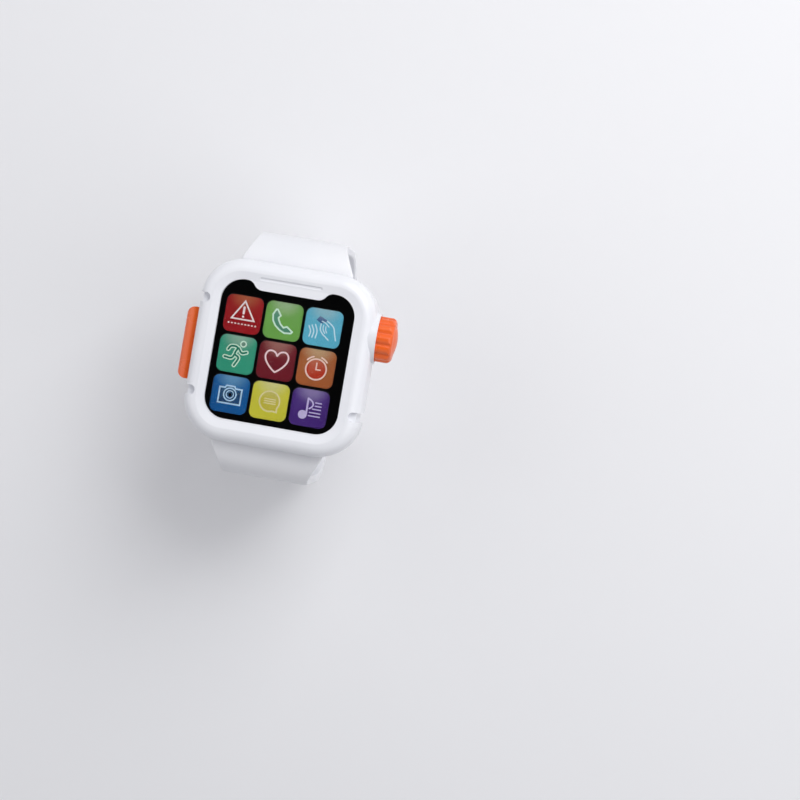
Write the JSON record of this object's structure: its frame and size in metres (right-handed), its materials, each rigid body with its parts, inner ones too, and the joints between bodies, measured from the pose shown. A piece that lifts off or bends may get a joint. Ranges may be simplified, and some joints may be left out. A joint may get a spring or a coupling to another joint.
{
  "type": "toy watch",
  "caption": "Toy wrist watch: a rounded square case with a picture screen, a ribbed crown that presses and turns, a long side button, and a soft strap closed into a loop by pegs and a keeper.",
  "frame": {"origin": "the lower face of the strap keeper, straight below the middle of the case: the level that the closed watch stands on", "axes": "+X across the screen towards the crown, +Y towards the top of the screen, +Z out of the screen"},
  "size_m": [0.0582, 0.0674, 0.059],
  "materials": {
    "white_case": "gloss",
    "orange_plastic": "gloss",
    "white_strap": "satin",
    "clear_lens": "clear gloss",
    "black_print": "printed",
    "picture_print": "printed in nine colours",
    "board_laminate": "satin solder mask",
    "black_plastic": "matt",
    "lamp_plastic": "clear resin",
    "steel": "satin",
    "contact_brass": "satin",
    "red_lead": "satin"
  },
  "bodies": {
    "watch": {"front_case": "white_case", "rear_cover": "white_case", "battery_door": "white_case", "door_screw": "steel", "case_screws": "steel", "screen_lens": "clear_lens", "screen_mask": "black_print", "picture_film": "picture_print", "circuit_board": "board_laminate", "board_screws": "steel", "sound_chip": "black_plastic", "screen_lamps": "lamp_plastic", "side_switch": "black_plastic", "crown_switch": "black_plastic", "speaker_can": "steel", "speaker_cone": "black_plastic", "speaker_leads": "red_lead", "button_cells": "steel", "cell_springs": "contact_brass", "bridge_contact": "contact_brass", "upper_strap": "white_strap", "lower_strap": "white_strap", "peg_plate": "white_case", "strap_keeper": "white_strap"},
    "side_button": {"side_button": "orange_plastic", "side_switch_plunger": "black_plastic"},
    "crown_stem": {"crown_stem": "orange_plastic", "crown_switch_plunger": "black_plastic"},
    "crown": {"crown": "orange_plastic"}
  },
  "joints": [
    {"name": "side_button_press", "type": "slide", "parent": "watch", "child": "side_button", "axis": [1, 0, 0], "range_m": [0, 0.0007], "stiffness_N_per_m": 1500, "springref_m": -0.0004},
    {"name": "crown_press", "type": "slide", "parent": "watch", "child": "crown_stem", "axis": [-1, 0, 0], "range_m": [0, 0.0006], "stiffness_N_per_m": 1500, "springref_m": -0.0004},
    {"name": "crown_turn", "type": "hinge", "parent": "crown_stem", "child": "crown", "pos_m": [0.0276, 0.0096, 0.0515], "axis": [1, 0, 0], "continuous": true}
  ]
}
